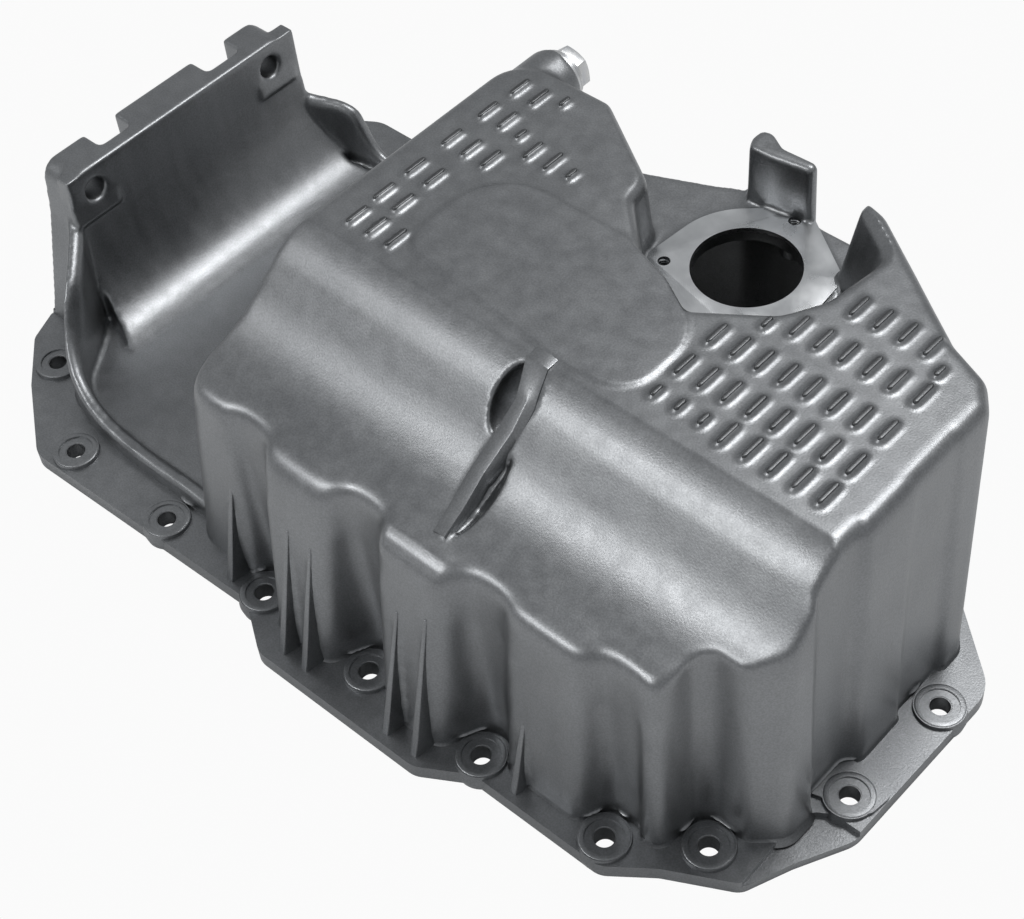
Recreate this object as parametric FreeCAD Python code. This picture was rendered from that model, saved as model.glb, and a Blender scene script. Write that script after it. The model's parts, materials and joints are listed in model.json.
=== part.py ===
import FreeCAD, Part
import math
import os

from FreeCAD import Vector as V

# Engine oil pan, upside down on its gasket face: +X along the engine towards
# the timing end, +Y to the drain side, +Z away from the engine block.
# All sizes in millimetres.

# Sump
SUMP_H = 140.0          # gasket face to the flat bottom of the sump
WALL = 4.5              # casting wall
ROOF = 5.0              # thickness under the flat bottom
BULGE_Y = -194.0        # front wall between the bolt recesses
RECESS_Y = -173.5       # back of the bolt recesses in the front wall
BULGE_DRAFT = 17.0      # how far the bulges lean in over the full height
DRAFT = 6.0             # lean of the plain walls over the full height
LEFT_DRAFT = 21.0
RIGHT_X = 131.5
LEFT_X = -146.0
FAR_Y = 18.0
BAY_Y = 34.0            # far wall round the sensor
BAY_CORNER_X = 74.0     # solid metal between the sensor bay and the far wall
SLOPE_WALL = 5.5        # height of metal over the oil space under the slope
SHOULDER_Z = 102.8      # where the front walls have rolled over into the slope
SHOULDER_R = 11.0       # roll of the bulges
END_R = 6.0             # roll of the shallower walls beside them
RECESS_R = 4.0          # roll of the bolt recesses
RIB_METAL = 12.0        # height of metal under the rib and its scoops

# Flange and its bolts
FLANGE_T = 7.0
COVE = 1.6              # foot of the sump wall
BOSS_H = 8.6
BOSS_R = 10.0
BOLT_D = 8.0
SPOT_R = 7.4
SPOT_DEPTH = 0.6
BOLT_PITCH = 59.5       # along both long sides
BOLT_X0 = 23.0
ROW_NEAR_Y = -185.5
ROW_FAR_Y = 39.5
ROW_BAY_Y = 46.0
BOLTS_NEAR = [(BOLT_X0 - BOLT_PITCH * i, ROW_NEAR_Y) for i in range(5)]
BOLTS_NEAR += [(-262.5, -157.0), (80.6, -182.3), (111.3, -161.0), (137.0, -112.5), (140.0, -60.5)]
BOLTS_FAR = [(BOLT_X0 - BOLT_PITCH * i, ROW_BAY_Y) for i in range(2)]
BOLTS_FAR += [(BOLT_X0 - BOLT_PITCH * i, ROW_FAR_Y) for i in range(2, 5)]
BOLTS_FAR += [(90.5, 14.5), (65.5, 31.0)]
RELIEF_Z = 4.0          # lowered corner of the flange at the timing end

# Sensor seat
BORE_X = 4.0
BORE_Y = -5.0
BORE_D = 43.0
FACE_Z = 110.0
SHELF_Z = 108.4
FACE_R = 32.5
LOBE_R = 7.6
SCREW_R = 31.3          # radius of the circle of screw holes
SCREW_D = 5.0           # tapping size of an M6 thread
SCREW_DEPTH = 14.0
SCREW_ANGLES = (92.0, 212.0, 332.0)
SEAT_CORNERS = [(33.5, -7.0), (32.6, 17.5)]      # straight side of the seat, from the bore's axis
HORN_LEAN = 9.0         # extra lean of the bay's wall below the horn

# Drain plug, axis along Y
PLUG_X = -114.0
PLUG_Z = SUMP_H - 14.5
DRAIN_BOSS_R = 13.5
DRAIN_FACE_Y = 22.5
THREAD_D = 14.0
RUN_CLEAR = 0.05
SEAL_R = 11.0
SEAL_T = 1.5
COLLAR_R = 10.8
COLLAR_T = 1.8
HEX_AF = 17.0
HEX_H = 6.0
SHANK_L = 16.0

# Bell-housing wall
BELL_IN_X = -270.0
BELL_WEB_X = -278.5
BELL_OUT_X = -290.0
BELL_TOP_Z = 85.0
BELL_HOLE_D = 10.5
BELL_HOLE_Z = 73.0
BELL_HOLES_Y = (-109.0, -5.0)
LEDGES = [(-124.0, -99.0), (-14.0, 8.0)]        # steps under the bell-housing holes, along Y
LEDGE_Z = 60.0
FLOOR_T = 4.5
FLOOR_Z = 10.0          # top of the shallow floor

# Raised marks on the flat bottom
DASH_W = 3.9
DASH_H = 2.2
DASH_L = 12.5
DASH_SHORT = 7.5
DASH_PITCH = 10.2
PAD_H = 0.8


def rounded(points, extra=0.0):
    """Closed wire through points (x, y, r) with every corner rounded."""
    n = len(points)
    corners = []
    for i in range(n):
        a = V(points[i - 1][0], points[i - 1][1], 0)
        b = V(points[i][0], points[i][1], 0)
        c = V(points[(i + 1) % n][0], points[(i + 1) % n][1], 0)
        u = (a - b)
        w = (c - b)
        lu = u.Length
        lw = w.Length
        u.normalize()
        w.normalize()
        half = math.acos(max(-1.0, min(1.0, u.dot(w)))) / 2.0
        reach = points[i][2] / math.tan(half)
        reach = min(reach, 0.47 * lu, 0.47 * lw)
        mid = (u + w)
        mid.normalize()
        r = reach * math.tan(half)
        centre = b + mid * (r / math.sin(half))
        corners.append((b + u * reach, centre - mid * r, b + w * reach))
    edges = []
    for i in range(n):
        start, middle, stop = corners[i]
        edges.append(Part.Arc(start, middle, stop).toShape())
        nxt = corners[(i + 1) % n][0]
        edges.append(Part.LineSegment(stop, nxt).toShape())
    return Part.Wire(edges)


def level(wire, z):
    moved = wire.copy()
    moved.translate(V(0, 0, z))
    return moved


def prism(wire, z0, z1):
    return Part.Face(level(wire, z0)).extrude(V(0, 0, z1 - z0))


def inset(points, leans, share, shell):
    """Move every side of a counter-clockwise outline inwards: its own lean
    times share, plus shell. Rounded outside corners lose the shell."""
    n = len(points)
    lines = []
    for i in range(n):
        a = V(points[i][0], points[i][1], 0)
        b = V(points[(i + 1) % n][0], points[(i + 1) % n][1], 0)
        d = b - a
        d.normalize()
        inward = V(-d.y, d.x, 0)
        lines.append((a + inward * (leans[i] * share + shell), d))
    out = []
    for i in range(n):
        p, d = lines[i - 1]
        q, e = lines[i]
        cross = d.x * e.y - d.y * e.x
        gap = q - p
        t = (gap.x * e.y - gap.y * e.x) / cross
        meet = p + d * t
        r = points[i][2]
        r = max(r - shell, 1.0) if cross > 0 else max(r + shell, 1.0)
        out.append((meet.x, meet.y, r))
    return out


def sump_outline(shell):
    """Plan outline at the gasket face with the lean of each side."""
    pts = [(LEFT_X, -181.5, 16.0)]
    lean = [7.0]
    fronts = [(2, -181.5, BULGE_Y), (1, BULGE_Y, BULGE_Y), (0, BULGE_Y, -184.0)]
    for place, left, right in fronts:
        x = BOLT_X0 - BOLT_PITCH * place
        back = RECESS_Y
        pts.append((x - 6.0 - (back - left) * 0.46, left, 7.0))
        lean.append(2.5)
        pts.append((x - 6.0, back, 9.0))
        lean.append(1.0)
        pts.append((x + 6.0, back, 9.0))
        lean.append(7.0)
        pts.append((x + 6.0 + (back - right) * 0.46, right, 7.0))
        lean.append(BULGE_DRAFT if right == BULGE_Y else 10.0)
    pts += [(68.5, -184.0, 7.0), (74.0, -170.5, 8.0)]
    lean += [2.5, 1.0]
    if shell == 0:
        pts += [(88.0, -170.5, 4.0), (91.5, -174.5, 3.0), (99.0, -173.0, 5.0), (101.0, -150.5, 8.0)]
        lean += [2.5, 4.5, 3.0, 2.0]
    else:
        pts += [(101.0, -170.5, 3.0), (101.1, -150.5, 8.0)]
        lean += [3.0, 2.0]
    pts += [(120.5, -150.5, 7.0), (RIGHT_X, -141.0, 9.0), (RIGHT_X, -127.0, 5.0),
            (125.3, -122.5, 7.0), (125.3, -102.5, 7.0), (RIGHT_X, -98.0, 5.0)]
    lean += [6.0, 5.0, 2.0, 1.0, 2.0, 5.0]
    if shell == 0:
        pts += [(RIGHT_X, -75.0, 3.0), (128.4, -72.0, 3.0), (128.4, -48.5, 3.0), (RIGHT_X, -45.5, 3.0)]
        lean += [2.0, 2.5, 2.0, 5.0]
    pts += [(RIGHT_X, -35.5, 8.0), (119.0, -19.0, 8.0), (103.0, -12.5, 9.0), (94.0, -2.0, 9.0),
            (47.0, 30.0, 12.0), (32.0, BAY_Y, 8.0), (-24.0, BAY_Y, 14.0), (-62.0, FAR_Y, 14.0),
            (LEFT_X, FAR_Y, 18.0)]
    lean += [1.5, 2.0, 3.0, DRAFT, DRAFT, 4.0, 4.0, DRAFT, LEFT_DRAFT]
    return pts, lean


def front_rolls(pts):
    """Radius of the rolled upper edge of each side; only the front has one."""
    rolls = []
    for i in range(len(pts)):
        y = max(pts[i][1], pts[(i + 1) % len(pts)][1])
        front = SHOULDER_R if y < BULGE_Y + 4.0 else END_R
        rolls.append(0.0 if y > -165.0 else front if y < -180.0 else RECESS_R)
    return rolls


def sump_block(shell, drop, bottom, top):
    """Leaning walls of the sump; the front ones roll over into the slope."""
    pts, lean = sump_outline(shell)
    rolls = [max(r - shell, 0.0) for r in front_rolls(pts)]
    crest = SHOULDER_Z - drop
    heights = [bottom]
    for angle in (0.0, 25.0, 48.0, 68.0, 90.0) if shell == 0 else (0.0, 45.0, 90.0):
        heights.append(crest - (SHOULDER_R - shell) * (1.0 - math.sin(math.radians(angle))))
    heights.append(top)
    wires = []
    for z in heights:
        moves = []
        for i in range(len(pts)):
            climb = min(max(z - crest + rolls[i], 0.0), rolls[i])
            moves.append(lean[i] * z / SUMP_H + rolls[i] - math.sqrt(rolls[i] ** 2 - climb ** 2))
        wires.append(level(rounded(inset(pts, moves, 1.0, shell)), z))
    return Part.makeLoft(wires, True, True)


def slope_cutter(drop):
    """Everything above the hollow slope that falls from the flat bottom to
    the front shoulder."""
    curve = [(-104, 141.4), (-110, 139.4), (-117, 135.6), (-124, 129.8), (-131, 122.2), (-139, 114.4),
             (-149, 107.8), (-158, 104.3), (-167, 102.6), (-180, 102.2), (-216, 102.0)]
    line = Part.BSplineCurve()
    line.interpolate([V(-190, y, z - drop) for y, z in curve])
    a = V(-190, -216, 102.0 - drop)
    b = V(-190, -216, 190)
    c = V(-190, -104, 190)
    d = V(-190, -104, 141.4 - drop)
    wire = Part.Wire([line.toShape(), Part.LineSegment(a, b).toShape(), Part.LineSegment(b, c).toShape(),
                      Part.LineSegment(c, d).toShape()])
    return Part.Face(wire).extrude(V(360, 0, 0))


def bay_outline(grow, horn=0.0):
    """Plan of the sensor bay; the side in front of the horn has its own lean."""
    pts = [(-78.0, 15.0, 1.0), (-33.5, -13.0, 9.0), (-31.0, -25.0, 8.0), (-8.0, -46.5, 12.0),
           (18.0, -55.5, 6.0), (43.5, -38.0, 14.0), (52.0, -23.0, 14.0), (54.5, -4.0, 12.0),
           (34.0, 9.5, 4.0), (31.0, 70.0, 1.0), (-78.0, 70.0, 1.0)]
    lean = [grow] * len(pts)
    lean[7] += horn
    return inset(pts, lean, -1.0, 0.0)


def bay_cutter(floor_z, grow):
    low = rounded(bay_outline(grow))
    high = rounded(bay_outline(grow + 3.0))
    return Part.makeLoft([level(low, floor_z), level(high, floor_z + 45.0)], True, True)


def sensor_face():
    """Machined triangular seat: a disc with three lobes and one flat side."""
    centre = V(BORE_X, BORE_Y, 0)
    seat = Part.makeCylinder(FACE_R, FACE_Z - SHELF_Z + 3.0, centre + V(0, 0, SHELF_Z - 3.0))
    spread = math.acos((FACE_R - LOBE_R) / SCREW_R)
    for angle in SCREW_ANGLES:
        a = math.radians(angle)
        lobe = centre + V(math.cos(a), math.sin(a), 0) * SCREW_R
        ring = []
        for side in (-1, 1):
            d = V(math.cos(a + side * spread), math.sin(a + side * spread), 0)
            ring.append((centre + d * FACE_R, lobe + d * LOBE_R))
        corners = [ring[0][0], ring[0][1], ring[1][1], ring[1][0]]
        wire = Part.makePolygon(corners + [corners[0]])
        seat = seat.fuse(prism(wire, SHELF_Z - 3.0, FACE_Z))
        seat = seat.fuse(Part.makeCylinder(LOBE_R, FACE_Z - SHELF_Z + 3.0, lobe + V(0, 0, SHELF_Z - 3.0)))
    first = math.radians(SCREW_ANGLES[0])
    lobe = centre + V(math.cos(first), math.sin(first), 0) * SCREW_R
    low, high = [centre + V(x, y, 0) for x, y in SEAT_CORNERS]
    out = V(lobe.y - high.y, high.x - lobe.x, 0)
    out.normalize()
    side = [centre, low, high, lobe + out * LOBE_R, centre]
    return seat.fuse(prism(Part.makePolygon(side), SHELF_Z - 3.0, FACE_Z))


def screw_points():
    out = []
    for angle in SCREW_ANGLES:
        a = math.radians(angle)
        out.append(V(BORE_X + SCREW_R * math.cos(a), BORE_Y + SCREW_R * math.sin(a), 0))
    return out


def guard_post():
    """L-shaped post that guards the sensor from behind."""
    pts = [(-23.0, 31.0, 2.6), (-20.0, 25.6, 2.6), (-10.0, 26.0, 5.0), (8.5, 29.0, 2.6),
           (8.0, 35.0, 2.6), (-9.0, 34.4, 4.0), (-17.0, 39.0, 3.0), (-22.6, 38.0, 3.0)]
    low = [(x, min(y, BAY_Y + 2.0), r) for x, y, r in pts]
    wires = [level(rounded(low), SHELF_Z - 4.0)]
    for down, narrower in ((6.4, 0.5), (5.0, 0.9), (4.2, 1.6), (4.0, 2.4)):
        wires.append(level(rounded(inset(pts, [1.0] * 8, narrower, 0.0)), SUMP_H - down))
    return Part.makeLoft(wires, True, True)


def horn():
    """Thick end of the far wall beside the sensor, leaning back to a rolled top."""
    foot = [(37.5, 8.5, 3.0), (57.0, -5.0, 2.0), (64.0, 4.0, 2.0), (60.0, 14.5, 2.0), (46.0, 24.0, 3.0),
            (37.0, 26.5, 4.0), (31.5, 17.0, 6.0)]
    head = [(44.5, 15.5, 3.0), (57.5, 7.0, 2.0), (64.0, 4.0, 2.0), (60.0, 13.5, 2.0), (46.5, 22.8, 3.0),
            (40.0, 25.2, 3.0), (35.5, 21.0, 4.0)]
    wires = [level(rounded(foot), SHELF_Z - 4.0), level(rounded(head), SUMP_H - 6.0)]
    for down, narrower in ((3.2, 0.6), (1.6, 1.4), (0.7, 2.3)):
        wires.append(level(rounded(inset(head, [1.0] * len(head), narrower, 0.0)), SUMP_H - down))
    return Part.makeLoft(wires, True, True)


def flange_outline():
    return [(-290.0, -139.0, 2.0), (-284.0, -153.5, 8.0), (-262.0, -173.0, 10.0), (-228.0, -197.0, 12.0),
            (-100.0, -192.0, 14.0), (-77.0, -206.5, 10.0), (6.0, -205.0, 10.0), (26.0, -193.0, 12.0),
            (86.0, -192.0, 9.0), (103.0, -179.0, 12.0), (129.0, -165.0, 8.0), (137.0, -146.0, 8.0),
            (148.5, -124.0, 14.0), (149.5, -42.5, 16.0), (119.0, -15.5, 8.0), (106.0, -3.0, 8.0),
            (103.0, 14.0, 10.0), (93.0, 28.0, 10.0), (74.0, 44.0, 10.0), (50.0, 45.0, 10.0),
            (34.0, 57.0, 10.0), (-44.0, 57.0, 10.0), (-60.0, 50.0, 14.0), (-264.0, 50.0, 14.0),
            (-290.0, 34.0, 6.0)]


def flange_plate():
    plate = prism(rounded(flange_outline()), 0, FLANGE_T)
    relief = [(128.8, -172.0, 1.0), (160.0, -172.0, 1.0), (160.0, -121.5, 1.0), (137.0, -121.8, 6.0),
              (130.4, -126.0, 5.0), (128.4, -139.5, 4.0)]
    plate = plate.cut(prism(rounded(relief), RELIEF_Z, 20.0))
    pad = [(124.0, -121.4, 2.0), (147.4, -115.0, 4.0), (149.0, -100.0, 5.0), (124.0, -100.0, 2.0)]
    plate = plate.fuse(prism(rounded(pad), 2.0, BOSS_H))
    for x, y in BOLTS_NEAR + BOLTS_FAR:
        boss = Part.makeCone(BOSS_R + 0.8, BOSS_R, BOSS_H - 4.0, V(x, y, 4.0))
        plate = plate.fuse(boss)
    return plate


def bolt_cuts():
    cuts = []
    for x, y in BOLTS_NEAR + BOLTS_FAR:
        cuts.append(Part.makeCylinder(BOLT_D / 2, 40, V(x, y, -10)))
        cuts.append(Part.makeCylinder(SPOT_R, 12, V(x, y, BOSS_H - SPOT_DEPTH)))
    return cuts


def strip(path, start, width, z0, z1):
    """Upright wall of even width beside a plan path."""
    left = []
    right = []
    n = len(path)
    for i in range(n):
        a = V(*path[max(i - 1, 0)], 0)
        b = V(*path[min(i + 1, n - 1)], 0)
        d = b - a
        d.normalize()
        p = V(*path[i], 0) + V(-d.y, d.x, 0) * start
        left.append(p)
        right.append(p + V(-d.y, d.x, 0) * width)
    outer = Part.BSplineCurve()
    outer.interpolate(left)
    inner = Part.BSplineCurve()
    inner.interpolate(right)
    wire = Part.Wire([outer.toShape(), Part.LineSegment(left[-1], right[-1]).toShape(),
                      inner.toShape(), Part.LineSegment(right[0], left[0]).toShape()])
    return prism(wire, z0, z1)


def above(profile, y0, y1):
    """Cutter above a side profile given as (x, z), from y0 to y1."""
    pts = [V(x, y0, z) for x, z in profile]
    line = Part.BSplineCurve()
    line.interpolate(pts)
    top = [V(profile[-1][0], y0, 120), V(profile[0][0], y0, 120)]
    wire = Part.Wire([line.toShape(), Part.LineSegment(pts[-1], top[0]).toShape(),
                      Part.LineSegment(top[0], top[1]).toShape(),
                      Part.LineSegment(top[1], pts[0]).toShape()])
    return Part.Face(wire).extrude(V(0, y1 - y0, 0))


def rim(path, width, profile, y0, y1):
    """Upstand along a path with a narrower crest."""
    lower = [(x, z - 1.8) for x, z in profile]
    foot = strip(path, 0.0, width, 0.0, 80.0).cut(above(lower, y0, y1))
    crest = strip(path, 1.2, width - 2.4, 0.0, 80.0).cut(above(profile, y0, y1))
    return foot.fuse(crest)


def near_rim():
    path = [(-276.0, -124.0), (-262.0, -138.0), (-252.0, -151.0), (-243.0, -162.0), (-228.0, -169.5),
            (-207.0, -173.0), (-175.0, -173.5), (-138.0, -174.5)]
    profile = [(-300, 75), (-276, 64), (-262, 57), (-253, 50), (-247, 38), (-240, 29), (-228, 21),
               (-207, 16), (-175, 14.5), (-120, 14)]
    return rim(path, 6.6, profile, -190, -90)


def far_rim():
    path = [(-138.0, 23.0), (-175.0, 26.5), (-207.0, 27.5), (-232.0, 27.5), (-250.0, 25.0),
            (-265.0, 18.0), (-278.0, 4.0)]
    profile = [(-300, 70), (-278, 54), (-266, 46), (-256, 44), (-249, 41), (-243, 29), (-236, 19),
               (-222, 14.5), (-175, 14), (-120, 14)]
    return rim(path, 6.0, profile, -20, 50)


def sweep_block(drop, y_near, y_far, flare):
    """Hollow curve from the bell-housing wall down to the shallow floor."""
    curve = [(-270, 84), (-269.6, 66), (-268, 48), (-264.5, 34), (-258, 22), (-250, 14.5),
             (-240, 10.6), (-222, 9.0)]
    pts = [V(x - drop, 0, z - drop * 0.5) for x, z in curve]
    line = Part.BSplineCurve()
    line.interpolate(pts)
    a = V(pts[-1].x, 0, 0.0)
    b = V(BELL_WEB_X + 1.0, 0, 0.0)
    c = V(BELL_WEB_X + 1.0, 0, pts[0].z)
    wire = Part.Wire([line.toShape(), Part.LineSegment(pts[-1], a).toShape(),
                      Part.LineSegment(a, b).toShape(), Part.LineSegment(b, c).toShape(),
                      Part.LineSegment(c, pts[0]).toShape()])
    wire.translate(V(0, y_near - 20, 0))
    body = Part.Face(wire).extrude(V(0, y_far - y_near + 40, 0))
    plan = [(-300, y_near + 6.0), (-270, y_near + 6.0), (-222, y_near - flare), (-222, y_far + flare),
            (-270, y_far), (-300, y_far)]
    corners = [V(x, y, 0) for x, y in plan]
    keep = prism(Part.makePolygon(corners + [corners[0]]), -10, 120)
    return body.common(keep)


def bell_wall():
    """Thick end wall: a web with two bolt columns and a middle tab."""
    side = [V(BELL_IN_X, -139.5, 0), V(BELL_IN_X, 27.0, 0), V(BELL_IN_X, 8.5, 62.0),
            V(BELL_IN_X, 6.5, BELL_TOP_Z), V(BELL_IN_X, -120.0, BELL_TOP_Z), V(BELL_IN_X, -123.5, 60.0)]
    face = Part.Face(Part.makePolygon(side + [side[0]]))
    wall = face.extrude(V(BELL_OUT_X - BELL_IN_X, 0, 0))
    tops = [e for e in wall.Edges if e.Length < 21 and abs(e.Vertexes[0].Z - BELL_TOP_Z) < 0.1
            and abs(e.Vertexes[1].Z - BELL_TOP_Z) < 0.1]
    wall = wall.makeFillet(9.0, tops)
    gaps = [(-96.0, -79.0, 30.0), (-33.0, -14.0, 30.0)]
    for y0, y1, z0 in gaps:
        wall = wall.cut(Part.makeBox(BELL_WEB_X - BELL_OUT_X + 5, y1 - y0, 90, V(BELL_OUT_X - 5, y0, z0)))
    wall = wall.cut(Part.makeBox(BELL_WEB_X - BELL_OUT_X + 5, 47, 60, V(BELL_OUT_X - 5, -79.5, 12.0)))
    tab = Part.makeBox(BELL_IN_X - BELL_OUT_X - 2, 46, 22.0, V(BELL_OUT_X, -79.0, BELL_TOP_Z - 22.0))
    return wall.fuse([tab] + bell_ledges())


def bell_ledges():
    """Step under each hole of the bell-housing wall, running out upwards."""
    ledges = []
    for y0, y1 in LEDGES:
        side = [V(BELL_IN_X - 1.0, y0, LEDGE_Z - 1.2), V(BELL_IN_X + 2.2, y0, LEDGE_Z),
                V(BELL_IN_X + 2.2, y0, LEDGE_Z + 1.4), V(BELL_IN_X - 1.0, y0, LEDGE_Z + 15.0)]
        ledges.append(Part.Face(Part.makePolygon(side + [side[0]])).extrude(V(0, y1 - y0, 0)))
    return ledges


def crown():
    """Flat bottom of the sump with its rolled edge."""
    pts, lean = sump_outline(0)
    start = next(i for i, p in enumerate(pts) if p[0] == RIGHT_X and p[1] == -127.0)
    side = [(LEFT_X, -150.0, 5.0), (RIGHT_X, -150.0, 5.0)] + pts[start:]
    leans = [0.0, 5.0] + lean[start:]
    roll = 6.0
    wires = []
    for k in range(7):
        a = math.radians(15.0 * k)
        z = SUMP_H - roll + roll * math.sin(a)
        ring = inset(side, leans, z / SUMP_H, roll * (1.0 - math.cos(a)) * 0.999)
        wires.append(level(rounded(ring), z))
    return Part.makeLoft(wires, True, True)


def skirt():
    """Sloping fillet where the sump wall meets the flange."""
    pts, lean = sump_outline(0)
    wires = []
    for z, out in ((FLANGE_T - 2.0, -COVE), (FLANGE_T + COVE, 0.2)):
        wires.append(level(rounded(inset(pts, lean, z / SUMP_H, out)), z))
    return Part.makeLoft(wires, True, True)


def bay_rim_cutter():
    """Bay above the shelf with a rolled upper edge."""
    roll = 3.0
    wires = [level(rounded(bay_outline(0.0)), SHELF_Z)]
    for k in range(5):
        a = math.radians(90.0 - 22.5 * k)
        z = SUMP_H - roll * math.sin(a)
        grow = 2.0 + roll * (1.0 - math.cos(math.radians(22.5 * k)))
        share = (z - SHELF_Z) / (SUMP_H - SHELF_Z)
        wires.append(level(rounded(bay_outline(grow, HORN_LEAN * share)), z))
    wires.append(level(rounded(bay_outline(5.0, HORN_LEAN)), SUMP_H + 5.0))
    return Part.makeLoft(wires, True, True)


def dash(x, y, length):
    """One raised mark with round ends, drawn in towards its top."""
    wires = []
    for z, narrower in ((-1.0, 0.0), (DASH_H * 0.5, 0.4), (DASH_H, 1.15)):
        r = DASH_W / 2 - narrower
        half = max((length - DASH_W) / 2, 0.2)
        a = V(x - r, y - half, SUMP_H + z)
        b = V(x + r, y - half, SUMP_H + z)
        c = V(x + r, y + half, SUMP_H + z)
        d = V(x - r, y + half, SUMP_H + z)
        near = Part.Arc(a, V(x, y - half - r, SUMP_H + z), b)
        far = Part.Arc(c, V(x, y + half + r, SUMP_H + z), d)
        wires.append(Part.Wire([near.toShape(), Part.LineSegment(b, c).toShape(),
                                far.toShape(), Part.LineSegment(d, a).toShape()]))
    return Part.makeLoft(wires, True, True)


def dash_rows():
    """Rows of marks on one grid: first x, number, y, then shorter ends."""
    full = DASH_L
    rows = [(36.4, 8, -96.0, 3), (36.0, 8, -80.5, 0), (35.6, 8, -62.4, 0), (55.6, 6, -42.0, 0),
            (66.0, 4, -21.8, 0), (-107.1, 3, -97.0, 0), (-108.2, 2, -81.6, 0), (-108.7, 2, -64.2, 0),
            (-109.1, 3, -43.5, 0), (-109.1, 2, -23.1, 0), (-108.4, 2, -5.4, 0), (-79.1, 2, -30.2, 0)]
    out = []
    for x0, count, y, short in rows:
        for i in range(count):
            length = DASH_SHORT if i < short else full
            out.append(dash(x0 + i * DASH_PITCH, y, length))
    for x, y in ((45.7, -47.5), (105.0, -30.0), (-89.0, -26.0), (-88.4, -1.4), (-58.7, -31.2)):
        out.append(dash(x, y, DASH_SHORT))
    return out


def bottom_pad():
    """Slightly raised field with round ends."""
    pts = [(-85.0, -43.5, 27.0), (-85.0, -98.0, 27.0), (-60.0, -99.5, 40.0), (2.0, -106.5, 40.0),
           (31.0, -104.0, 24.0), (31.0, -66.0, 22.0), (4.0, -51.0, 10.0), (-20.0, -43.5, 10.0)]
    low = rounded(pts)
    high = rounded(inset(pts, [1.0] * len(pts), 1.0, 0.0))
    return Part.makeLoft([level(low, SUMP_H - 1.0), level(high, SUMP_H + PAD_H)], True, True)


def gusset(x, wall_y, out_y, top_z, lean_x):
    """Tall thin fin in the shape of a wedge that tapers upwards."""
    low = [V(x - 2.0, wall_y + 3, 5.0), V(x + 2.0, wall_y + 3, 5.0), V(x + 1.4 + lean_x, out_y, 5.0),
           V(x - 1.4 + lean_x, out_y, 5.0)]
    y_top = wall_y + (top_z / SUMP_H) * BULGE_DRAFT
    high = [V(x - 0.7, y_top + 3, top_z), V(x + 0.7, y_top + 3, top_z), V(x + 0.5, y_top - 0.3, top_z),
            V(x - 0.5, y_top - 0.3, top_z)]
    return Part.makeLoft([Part.makePolygon(low + [low[0]]), Part.makePolygon(high + [high[0]])], True, True)


def gussets():
    data = [(-111.0, -181.5, -190.5, 74.0, -1.0), (-68.0, BULGE_Y, -201.5, 70.0, -1.5),
            (-56.0, BULGE_Y, -201.5, 69.0, -1.0), (-11.0, BULGE_Y, -202.0, 69.0, -1.0),
            (3.5, BULGE_Y, -202.0, 76.0, -0.5), (43.0, -184.0, -189.0, 56.0, -0.5)]
    return [gusset(*row) for row in data]


def scoop(x, y, z, along, across, deep, tilt):
    ball = Part.makeSphere(1.0)
    m = FreeCAD.Matrix()
    m.scale(across, along, deep)
    lens = ball.transformGeometry(m)
    lens.rotate(V(0, 0, 0), V(1, 0, 0), tilt)
    lens.translate(V(x, y, z))
    return lens


def slope_rib():
    """Bar that runs down the slope between the two scoops. Each station has
    its place along Y, the slope's height there, then the left foot, the
    ridge and the right foot, each as X and height over the slope."""
    stations = [(-103.0, 139.9, -9.8, 0.0, -4.5, 0.2, 0.2, 0.2),
                (-111.0, 139.0, -9.4, 0.6, -4.5, 1.0, 0.3, 1.0),
                (-119.0, 134.2, -5.6, 1.2, -1.5, 1.8, 2.9, 1.6),
                (-122.5, 131.2, -4.4, 0.8, 0.6, 2.6, 3.8, 1.0),
                (-131.0, 122.2, -6.2, 0.4, 0.6, 3.0, 2.6, -0.5),
                (-144.0, 110.9, -8.4, 0.2, -1.6, 3.2, -0.8, -2.0),
                (-157.0, 104.6, -7.0, 0.2, -0.4, 2.8, 0.4, -2.0),
                (-168.0, 102.5, -4.6, 0.0, 0.6, 1.2, 1.4, -1.0)]
    wires = []
    for y, z, left, rise_left, ridge, rise, right, rise_right in stations:
        ring = [V(left, y, z - 7.0), V(left, y, z + rise_left), V(ridge, y, z + rise),
                V(right, y, z + rise_right), V(right, y, z - 7.0)]
        wires.append(Part.makePolygon(ring + [ring[0]]))
    return Part.makeLoft(wires, True, True)


def scoops():
    """Half-moon left of the rib's upper end and a longer one right of its lower end."""
    upper = scoop(-5.4, -122.0, 130.0, 15.2, 8.7, 8.0, 40.0)
    lower = scoop(-0.4, -149.5, 111.6, 19.5, 6.6, 8.0, 27.0)
    return [upper, lower]


def rib_metal():
    """Metal kept under the rib and its scoops."""
    return Part.makeBox(30.0, 76.0, 90.0, V(-19.0, -178.0, 60.0)).common(slope_cutter(RIB_METAL))


def drain_boss():
    body = Part.makeCylinder(DRAIN_BOSS_R, 40.0, V(PLUG_X, DRAIN_FACE_Y - 40.0, PLUG_Z), V(0, 1, 0))
    ring = [e for e in body.Edges if abs(e.CenterOfMass.y - DRAIN_FACE_Y) < 0.1]
    return body.makeFillet(1.0, ring)


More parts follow.
